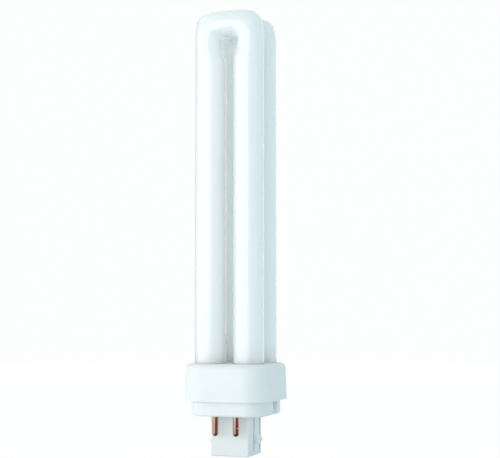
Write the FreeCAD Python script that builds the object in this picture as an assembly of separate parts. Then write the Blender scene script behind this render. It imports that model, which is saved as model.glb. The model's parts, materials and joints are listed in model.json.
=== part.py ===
"""Plug-in compact fluorescent lamp with a quad tube and a four-pin base.

Millimetres, +Z up. The lamp stands upright on the flat end of its plug, and the origin is at the
middle of that end. Two U tubes stand one behind the other, the front one at -Y.
"""
import FreeCAD
import Part
import math
import os

Vec = FreeCAD.Vector
UP = Vec(0, 0, 1)

# Glass tube
tube_d = 11.4             # outside diameter of a straight leg
leg_pitch = 15.0          # between neighbouring leg centres, across and front to back
exposed_tube = 131.2      # length of tube that shows above the collar
bend_depth = 9.9          # height of the crossbar, flattened in the plane of the U
bend_outer_r = 6.8        # outside corner of a bend
bend_inner_r = 1.8        # inside corner of a bend
bend_blend = 9.0          # length over which a round leg flattens into its bend
bridge_d = 6.4            # short tube that joins the two left-hand legs
bridge_height = 9.0       # from the collar's top to the bridge's axis
dome_gap = 0.1            # closed ends of the left-hand legs above the base's rim
pinch_length = 5.0        # flat pinch seal below each right-hand leg
pinch_width = 10.4        # across the flat of the pinch
pinch_thickness = 3.0     # through the flat of the pinch

# Collar
collar_corner_r = 9.9     # upright corners at the lower edge
collar_h = 13.4           # lower edge to top
collar_draft = 0.5        # taper of each side over the height
collar_edge_r = 2.0       # rounding of the top edge
collar_skirt = 1.6        # side wall round the base's rim
collar_ledge = 0.8        # ledge inside, which the rim meets
collar_top_wall = 2.2     # top plate round the legs
socket_clearance = 0.15   # round each leg, in the top plate
cement_depth = 4.0        # cement layer under the top plate
cement_margin = 1.4       # cement between the legs and the collar's side wall

# Base
neck_h = 5.5              # seating face to the collar's lower edge
neck_edge_r = 0.8         # rounding of the lower edge
neck_wall = 1.4
neck_floor = 2.0          # plate that the pins pass through
rim_h = 2.0               # rim of the base inside the collar
rim_clearance = 0.1       # between the rim and the collar
rim_step = 0.8            # rim beyond the neck's side

# Plug
plug_x = 14.8             # width across the latches' faces
plug_y = 14.4             # depth, front to back
plug_length = 14.9        # below the seating face
plug_wall = 2.3
plug_edge_r = 0.6         # rounding of the upright edges and the end
latch_w = 5.0             # width of a latch rib and of the key slot above it
latch_land = 1.2          # plug's side left behind the rear groove
latch_reach = 1.6         # nose beyond the plug's side
latch_nose_h = 3.8        # height of the nose
latch_nose_z = 5.6        # nose's peak from the plug's end
groove_w = 1.5            # relief groove on each side of a latch rib
groove_depth = 1.5
groove_start = 1.8        # groove's foot from the plug's end
key_depth = 2.8           # key slot into the neck's side

# Contact pins
pin_d = 2.35
pin_length = 7.2          # below the seating face
pin_pitch = 8.0           # between the two pins of a row
pin_shank_d = 2.7         # thicker shank, where the pin sits in the floor
pin_clearance = 0.05      # round the shank, in the floor
pin_head_d = 3.2          # shoulder that sits on the floor
pin_head_h = 0.9
pin_head_gap = 0.2        # between the shoulder and the neck's wall
pin_bore_d = 1.0          # socket for the lead wire, from the shoulder down to the seating face
dimple_d = 1.1            # punched dimple in the pin's side
dimple_depth = 0.4
dimple_drop = 3.9         # dimple below the seating face
dimple_turn = 54.0        # dimple's direction, in degrees from straight outwards

# Lead wires
wire_d = 0.6
wire_spacing = 4.4        # between the two leads of a pinch
wire_bend_r = 0.9
wire_lift = 1.8           # wire's level run above the pin's head

# Widths that follow, from the legs outwards and back in to the pins
half_pitch = leg_pitch / 2
tube_r = tube_d / 2
collar_wall = collar_skirt + collar_ledge
cavity_w = leg_pitch + tube_d + 2 * cement_margin
collar_w = cavity_w + 2 * collar_wall
rim_inset = collar_skirt + rim_clearance
rim_w = collar_w - 2 * rim_inset
neck_w = rim_w - 2 * rim_step
neck_corner_r = collar_corner_r - rim_inset - rim_step
hollow_w = neck_w - 2 * neck_wall
pin_row_pitch = hollow_w - pin_head_d - 2 * pin_head_gap
latch_offset = plug_y / 2 - latch_land - groove_w - latch_w / 2

# Levels that follow, from the plug's end upwards
seat_z = plug_length
collar_z = seat_z + neck_h
collar_top_z = collar_z + collar_h
tube_top_z = collar_top_z + exposed_tube
floor_top_z = seat_z + neck_floor
ledge_z = collar_z + rim_h
leg_end_z = ledge_z + dome_gap + tube_r
pinch_end_z = leg_end_z - pinch_length
plate_z = collar_top_z - collar_top_wall


def rounded_square(width_x, width_y, corner_r, z):
    """Level outline with straight sides and round corners, centred on the axis."""
    flat_x = width_x / 2 - corner_r
    flat_y = width_y / 2 - corner_r
    diagonal = corner_r / math.sqrt(2)
    edges = []
    for turn in range(4):
        sx = 1 if turn in (0, 3) else -1
        sy = 1 if turn in (0, 1) else -1
        middle = Vec(sx * flat_x, sy * flat_y, z)
        side = middle + Vec(sx * corner_r, 0, 0)
        bow = middle + Vec(sx * diagonal, sy * diagonal, 0)
        end = middle + Vec(0, sy * corner_r, 0)
        first, last = (side, end) if sx * sy > 0 else (end, side)
        edges.append((first, bow, last))
    shapes = []
    for index, (first, bow, last) in enumerate(edges):
        shapes.append(Part.Arc(first, bow, last).toShape())
        following = edges[(index + 1) % 4][0]
        if (following - last).Length > 1e-6:
            shapes.append(Part.makeLine(last, following))
    return Part.Wire(shapes)


def rounded_prism(width_x, width_y, corner_r, low_z, high_z):
    """Upright prism on a rounded square."""
    outline = rounded_square(width_x, width_y, corner_r, low_z)
    return Part.Face(outline).extrude(UP * (high_z - low_z))


def block(low, high):
    """Box between two opposite corners."""
    size = high - low
    return Part.makeBox(size.x, size.y, size.z, low)


def edges_at(shape, z):
    """Edges that lie wholly at one level."""
    return [edge for edge in shape.Edges
            if abs(edge.BoundBox.ZMin - z) < 1e-4 and abs(edge.BoundBox.ZMax - z) < 1e-4]


def half_turn(shape):
    """Copy turned half round the lamp's axis."""
    copy = shape.copy()
    copy.rotate(Vec(0, 0, 0), UP, 180)
    return copy


def oval(middle, first, second):
    """Closed oval round a middle point, from its two half axes."""
    normal = first.cross(second)
    normal.normalize()
    placing = FreeCAD.Matrix(
        first.x, second.x, normal.x, middle.x,
        first.y, second.y, normal.y, middle.y,
        first.z, second.z, normal.z, middle.z,
        0, 0, 0, 1)
    return Part.Wire([Part.makeCircle(1)]).transformGeometry(placing)


def tube_section(inner, outer):
    """Oval across a U tube, between a point inside the U and one outside it."""
    return oval((inner + outer) * 0.5, (outer - inner) * 0.5, Vec(0, tube_r, 0))


def bend_sections():
    """Sections of the right-hand bend, from the round leg up and over to the crossbar.

    The outside follows a superellipse that passes through the middle of a corner of radius bend_outer_r.
    """
    outer_x = half_pitch + tube_r
    leg_inner_x = half_pitch - tube_r
    window_x = outer_x - bend_depth
    window_z = tube_top_z - bend_depth
    pivot = Vec(window_x - bend_inner_r, 0, window_z - bend_inner_r)
    reach = bend_depth + bend_inner_r
    diagonal = math.sqrt(2) * (reach - bend_outer_r) + bend_outer_r
    power = math.log(2) / math.log(math.sqrt(2) * reach / diagonal)
    sections = []
    blend_steps = 3
    for step in range(blend_steps):
        share = step / blend_steps
        ease = share * share * (3 - 2 * share)
        z = pivot.z - bend_blend * (1 - share)
        inner_x = leg_inner_x + (window_x - leg_inner_x) * ease
        sections.append((Vec(inner_x, 0, z), Vec(outer_x, 0, z)))
    ray_steps = 4
    for step in range(ray_steps + 1):
        angle = math.radians(90 * step / ray_steps)
        ray = Vec(abs(math.cos(angle)), 0, abs(math.sin(angle)))
        far = reach / (ray.x ** power + ray.z ** power) ** (1 / power)
        sections.append((pivot + ray * bend_inner_r, pivot + ray * far))
    return sections


def u_tube(y):
    """One U tube standing at a distance in front of or behind the axis, its walls joined edge to edge."""
    right = bend_sections()
    left = [(Vec(-i.x, 0, i.z), Vec(-o.x, 0, o.z)) for i, o in reversed(right)]
    rings = [tube_section(i, o) for i, o in right + left]
    leg = Part.makeCircle(tube_r, Vec(half_pitch, 0, leg_end_z), UP).extrude(UP * (right[0][0].z - leg_end_z))
    walls = [Part.makeLoft(rings, False, False), leg, half_turn(leg), leg_dome(), pinch_seal()]
    shell = Part.makeShell([face for wall in walls for face in wall.Faces])
    shell.sewShape()
    tube = Part.makeSolid(shell)
    tube.translate(Vec(0, y, 0))
    return tube


def leg_dome():
    """Round closed end of a left-hand leg."""
    middle = Vec(-half_pitch, 0, leg_end_z)
    rim = middle - Vec(tube_r, 0, 0)
    bow = middle - Vec(tube_r, 0, tube_r) * (1 / math.sqrt(2))
    foot = middle - UP * tube_r
    return Part.Arc(rim, bow, foot).toShape().revolve(middle, UP, 360)


def pinch_seal():
    """Flattened end of a right-hand leg, where the lead wires come out."""
    neck_z = (leg_end_z + pinch_end_z) / 2
    steps = [(leg_end_z, tube_d, tube_d),
             (neck_z, pinch_width, pinch_thickness),
             (pinch_end_z, pinch_width, pinch_thickness)]
    ovals = [oval(Vec(half_pitch, 0, z), Vec(width / 2, 0, 0), Vec(0, depth / 2, 0))
             for z, width, depth in steps]
    sides = Part.makeLoft(ovals, False, True)
    return Part.makeShell(sides.Faces + [Part.Face(ovals[-1])])


def discharge_tube():
    """Both U tubes and the bridge, sealed as one vessel."""
    bridge = Part.makeCylinder(bridge_d / 2, leg_pitch,
                               Vec(-half_pitch, -half_pitch, collar_top_z + bridge_height), Vec(0, 1, 0))
    return u_tube(-half_pitch).fuse([u_tube(half_pitch), bridge])


def leg_columns(radius, low_z, high_z):
    """Four round columns on the legs' axes."""
    return [Part.makeCylinder(radius, high_z - low_z, Vec(x, y, low_z))
            for x in (-half_pitch, half_pitch) for y in (-half_pitch, half_pitch)]


def tube_collar():
    """Drafted cap with a hole for each leg, a ledge inside and an open underside."""
    low = rounded_square(collar_w, collar_w, collar_corner_r, collar_z)
    top_w = collar_w - 2 * collar_draft
    top = rounded_square(top_w, top_w, collar_corner_r - collar_draft, collar_top_z)
    shell = Part.makeLoft([low, top], True, True)
    shell = shell.makeFillet(collar_edge_r, edges_at(shell, collar_top_z))
    cavity = rounded_prism(cavity_w, cavity_w, collar_corner_r - collar_wall, collar_z, plate_z)
    mouth_w = collar_w - 2 * collar_skirt
    mouth = rounded_prism(mouth_w, mouth_w, collar_corner_r - collar_skirt, collar_z, ledge_z)
    sockets = leg_columns(tube_r + socket_clearance, collar_z, collar_top_z)
    return shell.cut([cavity, mouth] + sockets)


def basing_cement():
    """Cement that fills the collar under its top plate and grips the legs."""
    layer = rounded_prism(cavity_w, cavity_w, collar_corner_r - collar_wall, plate_z - cement_depth, plate_z)
    return layer.cut(leg_columns(tube_r, plate_z - cement_depth, plate_z))


def neck_shell():
    """Neck and rim of the base as one cup, with the floor that carries the pins."""
    body = rounded_prism(neck_w, neck_w, neck_corner_r, seat_z, ledge_z)
    body = body.makeFillet(neck_edge_r, edges_at(body, seat_z))
    rim = rounded_prism(rim_w, rim_w, collar_corner_r - rim_inset, collar_z, ledge_z)
    hollow = rounded_prism(hollow_w, hollow_w, neck_corner_r - neck_wall, floor_top_z, ledge_z)
    slot = key_slot(0, collar_z)
    housing = key_slot(neck_wall, ledge_z)
    hollow = hollow.cut([housing, half_turn(housing)])
    slots = [slot, half_turn(slot)]
    return body.cut(slots).fuse(rim).cut(hollow)


def key_slot(margin, high_z):
    """Slot in the neck's right-hand side above the latch, or the block round it for a wall's margin."""
    return block(Vec(neck_w / 2 - key_depth - margin, latch_offset - latch_w / 2 - margin, seat_z),
                 Vec(neck_w, latch_offset + latch_w / 2 + margin, high_z))


def latch_nose():
    """Three-cornered nose across the right-hand latch rib."""
    side = plug_x / 2
    front = latch_offset - latch_w / 2
    root = side - groove_depth
    corners = [Vec(root, front, latch_nose_z - latch_nose_h / 2),
               Vec(side, front, latch_nose_z - latch_nose_h / 2),
               Vec(side + latch_reach, front, latch_nose_z),
               Vec(side, front, latch_nose_z + latch_nose_h / 2),
               Vec(root, front, latch_nose_z + latch_nose_h / 2)]
    nose = Part.Face(Part.makePolygon(corners + corners[:1])).extrude(Vec(0, latch_w, 0))
    crest = [edge for edge in nose.Edges
             if abs(edge.BoundBox.XMin - side - latch_reach) < 1e-4]
    return nose.makeFillet(latch_reach / 3, crest)


def plug():
    """Hollow square plug with a latch rib between grooves on two sides."""
    body = block(Vec(-plug_x / 2, -plug_y / 2, 0), Vec(plug_x / 2, plug_y / 2, floor_top_z))
    rounded = [edge for edge in body.Edges if edge.BoundBox.ZMin < 1e-4]
    body = body.makeFillet(plug_edge_r, rounded)
    grooves = []
    for side in (-1, 1):
        middle = latch_offset + side * (latch_w + groove_w) / 2
        grooves.append(block(Vec(plug_x / 2 - groove_depth, middle - groove_w / 2, groove_start),
                             Vec(plug_x, middle + groove_w / 2, seat_z)))
    body = body.cut(grooves + [half_turn(groove) for groove in grooves])
    nose = latch_nose()
    return body.fuse([nose, half_turn(nose)])


def pin_places():
    """Pin axes at the seating face: front left, front right, rear left, rear right."""
    return [Vec(x * pin_pitch / 2, y * pin_row_pitch / 2, seat_z) for y in (-1, 1) for x in (-1, 1)]


def plug_base():
    """Neck, plug and pin holes as one moulding, hollow from above."""
    inside = block(Vec(plug_wall - plug_x / 2, plug_wall - plug_y / 2, plug_wall),
                   Vec(plug_x / 2 - plug_wall, plug_y / 2 - plug_wall, floor_top_z))
    holes = [Part.makeCylinder(pin_shank_d / 2 + pin_clearance, neck_floor, place) for place in pin_places()]
    return neck_shell().fuse(plug()).cut([inside] + holes)


def contact_pin(place):
    """Domed pin with a thicker shank, a shoulder on the floor, a socket for its wire and a dimple."""
    radius = pin_d / 2
    tip_z = seat_z - pin_length
    prong = Part.makeCylinder(radius, pin_length - radius, Vec(0, 0, tip_z + radius))
    tip = Part.makeSphere(radius, Vec(0, 0, tip_z + radius))
    shank = Part.makeCylinder(pin_shank_d / 2, neck_floor, Vec(0, 0, seat_z))
    head = Part.makeCylinder(pin_head_d / 2, pin_head_h, Vec(0, 0, floor_top_z))
    bore = Part.makeCylinder(pin_bore_d / 2, neck_floor + pin_head_h, Vec(0, 0, seat_z))
    heading = math.radians(dimple_turn) * math.copysign(1, place.x)
    outward = Vec(math.sin(heading), math.copysign(1, place.y) * math.cos(heading), 0)
    ball_r = (dimple_d ** 2 / 4 + dimple_depth ** 2) / (2 * dimple_depth)
    dimple = Part.makeSphere(ball_r, outward * (radius + ball_r - dimple_depth) + UP * (seat_z - dimple_drop))
    pin = prong.fuse([tip, shank, head]).cut([bore, dimple])
    pin.translate(Vec(place.x, place.y, 0))
    return pin


def lead_wire(place):
    """Wire from a right-hand leg's pinch seal to a pin: down, across and down into the socket."""
    leg_y = math.copysign(half_pitch, place.y)
    start = Vec(half_pitch + math.copysign(wire_spacing / 2, place.x), leg_y, pinch_end_z)
    level_z = floor_top_z + pin_head_h + wire_lift
    end = place
    across = Vec(end.x - start.x, end.y - start.y, 0)
    across.normalize()
    runs = [start]
    path = []
    down = UP * -1
    corners = [(Vec(start.x, start.y, level_z), down, across), (Vec(end.x, end.y, level_z), across, down)]
    for corner, heading, leaving in corners:
        enter = corner - heading * wire_bend_r
        leave = corner + leaving * wire_bend_r
        bow = corner + (leaving - heading) * (wire_bend_r * (1 - 1 / math.sqrt(2)))
        path.append(Part.makeLine(runs[-1], enter))
        path.append(Part.Arc(enter, bow, leave).toShape())
        runs.append(leave)
    path.append(Part.makeLine(runs[-1], end))
    section = Part.Wire([Part.makeCircle(wire_d / 2, start, UP)])
    return Part.Wire(path).makePipeShell([section], True, False)


def main():
    """Write every piece to its own file."""
    os.makedirs("parts", exist_ok=True)
    pieces = {
        "discharge_tube": discharge_tube(),
        "tube_collar": tube_collar(),
        "basing_cement": basing_cement(),
        "plug_base": plug_base(),
    }
    for number, place in enumerate(pin_places(), 1):
        pieces[f"contact_pin_{number}"] = contact_pin(place)
        pieces[f"lead_wire_{number}"] = lead_wire(place)
    for name, shape in pieces.items():
        shape.exportStep(f"parts/{name}.step")
        print(name, len(shape.Solids), shape.isValid(), round(shape.Volume, 1))


main()
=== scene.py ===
import json
import math

import bpy
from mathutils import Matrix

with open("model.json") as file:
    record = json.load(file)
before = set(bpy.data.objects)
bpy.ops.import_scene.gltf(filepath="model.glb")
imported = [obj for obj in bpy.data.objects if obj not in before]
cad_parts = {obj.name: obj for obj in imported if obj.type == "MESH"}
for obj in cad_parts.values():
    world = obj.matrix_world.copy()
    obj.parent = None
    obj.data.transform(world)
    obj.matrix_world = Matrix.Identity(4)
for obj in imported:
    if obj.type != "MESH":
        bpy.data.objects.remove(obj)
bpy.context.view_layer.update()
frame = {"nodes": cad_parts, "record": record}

MM = 0.001

# Camera, as fitted to the lamp's edges
IMAGE_W = 500                # pixels across the image
CAMERA_AZIMUTH = 20.0        # degrees round to the lamp's right-hand side
CAMERA_DISTANCE = 0.445      # metres from the lamp's axis
CAMERA_HEIGHT = 0.0523
CAMERA_PITCH = 4.04          # degrees upwards
CAMERA_NEAR = 0.01           # nearest distance that is drawn
FOCAL_PIXELS = 1189.0
AXIS_PIXEL_X = 236.3         # where the lamp's axis falls across the image
SENSOR_MM = 36.0

# Patterns of the real surfaces, and how deep they are
COAT_PATCH = 9 * MM          # cloudy patches in the powder coat
GLASS_WAVE = 14 * MM         # slow waves in the drawn glass
GLASS_WAVE_DEPTH = 0.4 * MM
GLASS_STRETCH = (1, 1, 0.12)             # both are drawn out lengthways
GLASS_SCATTER = 14 * MM      # how far light spreads inside the milky tube
GLASS_IOR = 1.52
PLASTIC_DRIFT = 7 * MM       # faint unevenness of the white
MOULD_GRAIN = 0.35 * MM      # coarser than the real grain, so that it shows
MOULD_GRAIN_DEPTH = 0.05 * MM
PIN_STREAK = 0.4 * MM        # coarser than real drawing lines, so that they show
PIN_STRETCH = (1, 1, 0.06)
CEMENT_GRIT = 0.8 * MM
CEMENT_GRIT_DEPTH = 0.2 * MM
WIRE_MOTTLE = 0.3 * MM

# Light: lengths in metres, angles in degrees round from the front, levels as radiance
SKY_FILL = "#E2FAFF"         # soft cool fill from all round
SKY_LEVEL = 0.74
FILL_COLOUR = "#FFEEE6"      # a little warm
GLOSS_COLOUR = "#FFFCFA"
PANELS_IN_ARC = 3
PANEL_LOW, PANEL_HIGH = 0.002, 0.37      # edges of the upright panels, which stand on arcs round the lamp
UPRIGHT, FACE_UP = 90.0, 180.0           # tilt of a panel that faces the lamp, and of one that lies
FRONT_ARC = (-86.0, 20.0)    # panels that light the lamp's front, left to right
FRONT_RADIUS = 0.8
FRONT_FILL = 1.5
GLOSS_ARC = (-79.0, 20.0)    # panels that only glossy surfaces mirror
GLOSS_RADIUS = 0.78
GLOSS_LEVEL = 1.4
BACK_ARC = (160.0, 260.0)    # panels that shine through the glass from behind
BACK_RADIUS = 0.8
BACK_FILL = 1.7
LOW_AZIMUTH = -25.0          # panel that lies in front of the lamp, mirrored in the bends from below
LOW_HEIGHT = 1 * MM
LOW_NEAR, LOW_FAR = 0.21, 0.77
LOW_WIDTH = 0.6
LOW_LEVEL = 1.8

# Floor and backdrop, one sheet swept up behind the lamp
SWEEP_WIDTH = 8.0
SWEEP_FRONT = 4.0            # floor in front of the lamp
SWEEP_BACK = 2.6             # backdrop behind the lamp
SWEEP_RADIUS = 1.2
SWEEP_STEPS = 24             # flat strips in the curve
SWEEP_HEIGHT = 4.0
SWEEP_PAPER = "#F3F8FD"
SWEEP_GLOW = 0.96            # share of the sheet that is plain white to the camera

# Grey cards that only glossy surfaces mirror: one lies at the lamp's right, one stands behind its left
CARD_LIFT = 0.5 * MM
FLOOR_CARD = ((-0.012, -0.006, CARD_LIFT), (0.12, -0.42, CARD_LIFT),
              (0.45, -0.42, CARD_LIFT), (0.45, 0.08, CARD_LIFT))
FLOOR_CARD_GREY = "#716B70"
LEFT_CARD_TOP = 0.45
LEFT_CARD = ((-0.69, -0.13, 0.0), (-0.2, 0.68, 0.0),
             (-0.2, 0.68, LEFT_CARD_TOP), (-0.69, -0.13, LEFT_CARD_TOP))
LEFT_CARD_GREY = "#D6D8D8"


def to_linear(hex_colour, alpha=1.0):
    """sRGB hex colour as a linear RGBA tuple."""
    channels = []
    for start in (1, 3, 5):
        value = int(hex_colour[start:start + 2], 16) / 255
        channels.append(value / 12.92 if value <= 0.04045 else ((value + 0.055) / 1.055) ** 2.4)
    return (*channels, alpha)


def add_node(tree, kind, inputs=None, **settings):
    """One node with its settings and its inputs: a value, or a socket to link from."""
    node = tree.nodes.new(kind)
    for name, value in settings.items():
        setattr(node, name, value)
    for name, value in (inputs or {}).items():
        if isinstance(value, bpy.types.NodeSocket):
            tree.links.new(value, node.inputs[name])
        else:
            node.inputs[name].default_value = value
    return node


def new_material(name):
    """Empty node material with its output."""
    material = bpy.data.materials.new(name)
    material.use_nodes = True
    material.node_tree.nodes.clear()
    output = material.node_tree.nodes.new("ShaderNodeOutputMaterial")
    return material, material.node_tree, output


def powder_coated_glass():
    """Drawn lamp glass, powder-coated white inside: milky and glossy, faintly green in its own shade."""
    material, tree, output = new_material("drawn_glass_powder_coated")
    place = add_node(tree, "ShaderNodeTexCoord")
    long_grain = add_node(tree, "ShaderNodeMapping",
                          {"Vector": place.outputs["Object"], "Scale": GLASS_STRETCH})
    cloud = add_node(tree, "ShaderNodeTexNoise",
                     {"Vector": long_grain.outputs["Vector"], "Scale": 1 / COAT_PATCH, "Detail": 3.0})
    coat = add_node(tree, "ShaderNodeMix",
                    {"Factor": cloud.outputs["Fac"],
                     "A": to_linear("#F2F8F3"), "B": to_linear("#F8FCF8")}, data_type="RGBA")
    wave = add_node(tree, "ShaderNodeTexNoise",
                    {"Vector": long_grain.outputs["Vector"], "Scale": 1 / GLASS_WAVE, "Detail": 1.0})
    bump = add_node(tree, "ShaderNodeBump",
                    {"Height": wave.outputs["Fac"], "Strength": 0.05, "Distance": GLASS_WAVE_DEPTH})
    shader = add_node(tree, "ShaderNodeBsdfPrincipled",
                      {"Base Color": coat.outputs["Result"], "Roughness": 0.1, "IOR": GLASS_IOR,
                       "Subsurface Weight": 1.0, "Subsurface Radius": (1.0, 1.0, 1.0),
                       "Subsurface Scale": GLASS_SCATTER,
                       "Coat Weight": 1.0, "Coat Roughness": 0.03, "Coat IOR": GLASS_IOR,
                       "Normal": bump.outputs["Normal"], "Coat Normal": bump.outputs["Normal"]})
    tree.links.new(shader.outputs["BSDF"], output.inputs["Surface"])
    return material


def moulded_white_plastic():
    """Injection-moulded PBT: white, with a fine spark-eroded grain that softens every highlight."""
    material, tree, output = new_material("moulded_white_pbt")
    place = add_node(tree, "ShaderNodeTexCoord")
    drift = add_node(tree, "ShaderNodeTexNoise",
                     {"Vector": place.outputs["Object"], "Scale": 1 / PLASTIC_DRIFT, "Detail": 4.0})
    colour = add_node(tree, "ShaderNodeMix",
                      {"Factor": drift.outputs["Fac"],
                       "A": to_linear("#F1F2F2"), "B": to_linear("#F7F8F8")}, data_type="RGBA")
    grain = add_node(tree, "ShaderNodeTexNoise",
                     {"Vector": place.outputs["Object"], "Scale": 1 / MOULD_GRAIN, "Detail": 2.0})
    gloss = add_node(tree, "ShaderNodeMapRange",
                     {"Value": grain.outputs["Fac"], "To Min": 0.36, "To Max": 0.52})
    bump = add_node(tree, "ShaderNodeBump",
                    {"Height": grain.outputs["Fac"], "Strength": 0.12, "Distance": MOULD_GRAIN_DEPTH})
    shader = add_node(tree, "ShaderNodeBsdfPrincipled",
                      {"Base Color": colour.outputs["Result"], "Roughness": gloss.outputs["Result"],
                       "IOR": 1.5, "Normal": bump.outputs["Normal"]})
    tree.links.new(shader.outputs["BSDF"], output.inputs["Surface"])
    return material


def drawn_copper_brass():
    """Drawn pin metal with a copper tone: lengthways streaks and a thin brown tarnish."""
    material, tree, output = new_material("drawn_copper_toned_brass")
    place = add_node(tree, "ShaderNodeTexCoord")
    streaks = add_node(tree, "ShaderNodeMapping",
                       {"Vector": place.outputs["Object"], "Scale": PIN_STRETCH})
    line = add_node(tree, "ShaderNodeTexNoise",
                    {"Vector": streaks.outputs["Vector"], "Scale": 1 / PIN_STREAK, "Detail": 3.0})
    colour = add_node(tree, "ShaderNodeMix",
                      {"Factor": line.outputs["Fac"],
                       "A": to_linear("#AE8475"), "B": to_linear("#CCA595")}, data_type="RGBA")
    gloss = add_node(tree, "ShaderNodeMapRange",
                     {"Value": line.outputs["Fac"], "To Min": 0.1, "To Max": 0.2})
    shader = add_node(tree, "ShaderNodeBsdfPrincipled",
                      {"Base Color": colour.outputs["Result"], "Metallic": 1.0,
                       "Roughness": gloss.outputs["Result"]})
    tree.links.new(shader.outputs["BSDF"], output.inputs["Surface"])
    return material


def cast_cement():
    """Cast basing cement: chalky, pale and pitted."""
    material, tree, output = new_material("cast_basing_cement")
    place = add_node(tree, "ShaderNodeTexCoord")
    grit = add_node(tree, "ShaderNodeTexNoise",
                    {"Vector": place.outputs["Object"], "Scale": 1 / CEMENT_GRIT, "Detail": 5.0})
    colour = add_node(tree, "ShaderNodeMix",
                      {"Factor": grit.outputs["Fac"],
                       "A": to_linear("#C4BDAE"), "B": to_linear("#DDD7CA")}, data_type="RGBA")
    bump = add_node(tree, "ShaderNodeBump",
                    {"Height": grit.outputs["Fac"], "Strength": 0.4, "Distance": CEMENT_GRIT_DEPTH})
    shader = add_node(tree, "ShaderNodeBsdfPrincipled",
                      {"Base Color": colour.outputs["Result"], "Roughness": 0.9,
                       "Normal": bump.outputs["Normal"]})
    tree.links.new(shader.outputs["BSDF"], output.inputs["Surface"])
    return material


def drawn_nickel_wire():
    """Drawn nickel lead wire: grey metal with a fine mottle."""
    material, tree, output = new_material("drawn_nickel_wire")
    place = add_node(tree, "ShaderNodeTexCoord")
    mottle = add_node(tree, "ShaderNodeTexNoise",
                      {"Vector": place.outputs["Object"], "Scale": 1 / WIRE_MOTTLE, "Detail": 2.0})
    colour = add_node(tree, "ShaderNodeMix",
                      {"Factor": mottle.outputs["Fac"],
                       "A": to_linear("#9A9A9C"), "B": to_linear("#BDBDC0")}, data_type="RGBA")
    shader = add_node(tree, "ShaderNodeBsdfPrincipled",
                      {"Base Color": colour.outputs["Result"], "Metallic": 1.0, "Roughness": 0.3})
    tree.links.new(shader.outputs["BSDF"], output.inputs["Surface"])
    return material


def finish_cad_nodes():
    """Give each piece of the frame the finish of its material slot."""
    finishes = {
        "coated_glass": powder_coated_glass(),
        "white_plastic": moulded_white_plastic(),
        "pin_metal": drawn_copper_brass(),
        "cement": cast_cement(),
        "lead_metal": drawn_nickel_wire(),
    }
    for row in frame["record"]["subparts"]:
        node = frame["nodes"][row["node"]]
        for slot in node.material_slots:
            slot.material = finishes[row["material_slot"]]


def shown_ray(tree):
    """1 for a ray that the camera, a gloss or clear glass sends, else 0."""
    path = add_node(tree, "ShaderNodeLightPath")
    seen = add_node(tree, "ShaderNodeMath",
                    {0: path.outputs["Is Camera Ray"], 1: path.outputs["Is Glossy Ray"]},
                    operation="MAXIMUM")
    shown = add_node(tree, "ShaderNodeMath",
                     {0: seen.outputs[0], 1: path.outputs["Is Transmission Ray"]},
                     operation="MAXIMUM")
    return shown.outputs[0]


def studio_sweep():
    """Pale floor that curves up into the backdrop, white to the camera, and takes the lamp's shadow."""
    profile = [(-SWEEP_FRONT, 0.0)]
    for step in range(SWEEP_STEPS + 1):
        angle = math.radians(90 * step / SWEEP_STEPS)
        profile.append((SWEEP_BACK - SWEEP_RADIUS + SWEEP_RADIUS * math.sin(angle),
                        SWEEP_RADIUS - SWEEP_RADIUS * math.cos(angle)))
    profile.append((SWEEP_BACK, SWEEP_HEIGHT))
    corners = [(side * SWEEP_WIDTH / 2, y, z) for y, z in profile for side in (-1, 1)]
    strips = [(2 * row, 2 * row + 1, 2 * row + 3, 2 * row + 2) for row in range(len(profile) - 1)]
    mesh = bpy.data.meshes.new("studio_sweep")
    mesh.from_pydata(corners, [], strips)
    mesh.shade_smooth()
    material, tree, output = new_material("pale_paper_sweep")
    paper = add_node(tree, "ShaderNodeBsdfDiffuse", {"Color": to_linear(SWEEP_PAPER)})
    glow = add_node(tree, "ShaderNodeEmission", {"Strength": 1.0})
    share = add_node(tree, "ShaderNodeMath", {0: shown_ray(tree), 1: SWEEP_GLOW}, operation="MULTIPLY")
    mix = add_node(tree, "ShaderNodeMixShader",
                   {0: share.outputs[0], 1: paper.outputs[0], 2: glow.outputs[0]})
    tree.links.new(mix.outputs[0], output.inputs["Surface"])
    mesh.materials.append(material)
    sweep = bpy.data.objects.new("studio_sweep", mesh)
    bpy.context.scene.collection.objects.link(sweep)


def grey_card(name, corners, colour):
    """Card that gives the gloss of glass and metal a darker edge, and nothing else."""
    mesh = bpy.data.meshes.new(name)
    mesh.from_pydata(corners, [], [(0, 1, 2, 3)])
    material, tree, output = new_material(name)
    face = add_node(tree, "ShaderNodeBsdfDiffuse", {"Color": to_linear(colour)})
    tree.links.new(face.outputs[0], output.inputs["Surface"])
    mesh.materials.append(material)
    card = bpy.data.objects.new(name, mesh)
    card.visible_camera = False
    card.visible_diffuse = False
    card.visible_shadow = False
    bpy.context.scene.collection.objects.link(card)


def studio_sky():
    """White surroundings to the camera, and an even cool fill on the lamp."""
    world = bpy.data.worlds.new("studio_sky")
    world.use_nodes = True
    bpy.context.scene.world = world
    tree = world.node_tree
    tree.nodes.clear()
    output = tree.nodes.new("ShaderNodeOutputWorld")
    fill = add_node(tree, "ShaderNodeBackground", {"Color": to_linear(SKY_FILL), "Strength": SKY_LEVEL})
    white = add_node(tree, "ShaderNodeBackground", {"Color": (1, 1, 1, 1), "Strength": 1.0})
    mix = add_node(tree, "ShaderNodeMixShader",
                   {0: shown_ray(tree), 1: fill.outputs[0], 2: white.outputs[0]})
    tree.links.new(mix.outputs[0], output.inputs["Surface"])


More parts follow.
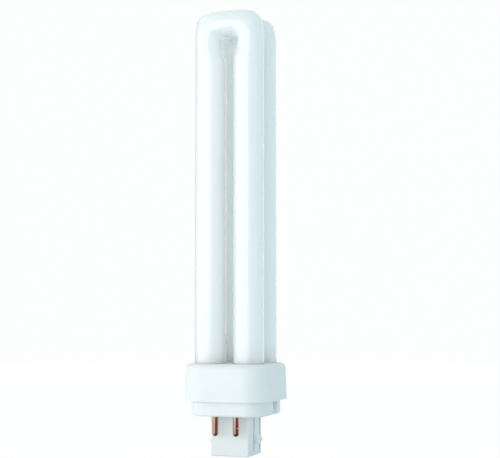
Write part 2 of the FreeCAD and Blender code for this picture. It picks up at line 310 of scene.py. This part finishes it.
def soft_panel(name, size, distance, height, tilt, azimuth, radiance, mirrored):
    """Evenly bright panel, which either lights the lamp or is only mirrored in its gloss."""
    data = bpy.data.lights.new(name, "AREA")
    data.shape = "RECTANGLE"
    data.size, data.size_y = size
    data.color = to_linear(GLOSS_COLOUR if mirrored else FILL_COLOUR)[:3]
    data.energy = radiance * math.pi * size[0] * size[1]
    panel = bpy.data.objects.new(name, data)
    panel.location = (math.sin(azimuth) * distance, -math.cos(azimuth) * distance, height)
    panel.rotation_euler = (math.radians(tilt), 0, azimuth)
    panel.visible_camera = False
    panel.visible_glossy = mirrored
    panel.visible_diffuse = not mirrored
    bpy.context.scene.collection.objects.link(panel)


def panel_arc(name, arc, radius, radiance, mirrored):
    """Upright panels side by side on an arc round the lamp."""
    first, last = (math.radians(angle) for angle in arc)
    spread = (last - first) / PANELS_IN_ARC
    size = (2 * radius * math.tan(spread / 2), PANEL_HIGH - PANEL_LOW)
    middle = (PANEL_LOW + PANEL_HIGH) / 2
    for number in range(PANELS_IN_ARC):
        azimuth = first + spread * (number + 0.5)
        soft_panel(f"{name}_{number + 1}", size, radius, middle, UPRIGHT, azimuth, radiance, mirrored)


def light_panels():
    """Panels that light the lamp from in front and behind, and panels that only its gloss mirrors."""
    panel_arc("front_fill", FRONT_ARC, FRONT_RADIUS, FRONT_FILL, False)
    panel_arc("left_gloss", GLOSS_ARC, GLOSS_RADIUS, GLOSS_LEVEL, True)
    panel_arc("back_fill", BACK_ARC, BACK_RADIUS, BACK_FILL, False)
    soft_panel("low_gloss", (LOW_WIDTH, LOW_FAR - LOW_NEAR), (LOW_NEAR + LOW_FAR) / 2, LOW_HEIGHT, FACE_UP,
               math.radians(LOW_AZIMUTH), LOW_LEVEL, True)


def photograph_camera():
    """Camera at the photograph's angle, a little above the base and tilted up."""
    data = bpy.data.cameras.new("camera")
    data.sensor_width = SENSOR_MM
    data.lens = FOCAL_PIXELS / IMAGE_W * SENSOR_MM
    data.clip_start = CAMERA_NEAR
    camera = bpy.data.objects.new("camera", data)
    azimuth = math.radians(CAMERA_AZIMUTH)
    turn = math.atan((IMAGE_W / 2 - AXIS_PIXEL_X) / FOCAL_PIXELS)
    camera.location = (math.sin(azimuth) * CAMERA_DISTANCE,
                       -math.cos(azimuth) * CAMERA_DISTANCE,
                       CAMERA_HEIGHT)
    camera.rotation_euler = (math.radians(90 + CAMERA_PITCH), 0, azimuth - turn)
    bpy.context.scene.collection.objects.link(camera)
    bpy.context.scene.camera = camera


bpy.context.scene.view_settings.view_transform = "Standard"
finish_cad_nodes()
studio_sweep()
grey_card("floor_card", FLOOR_CARD, FLOOR_CARD_GREY)
grey_card("left_card", LEFT_CARD, LEFT_CARD_GREY)
studio_sky()
light_panels()
photograph_camera()
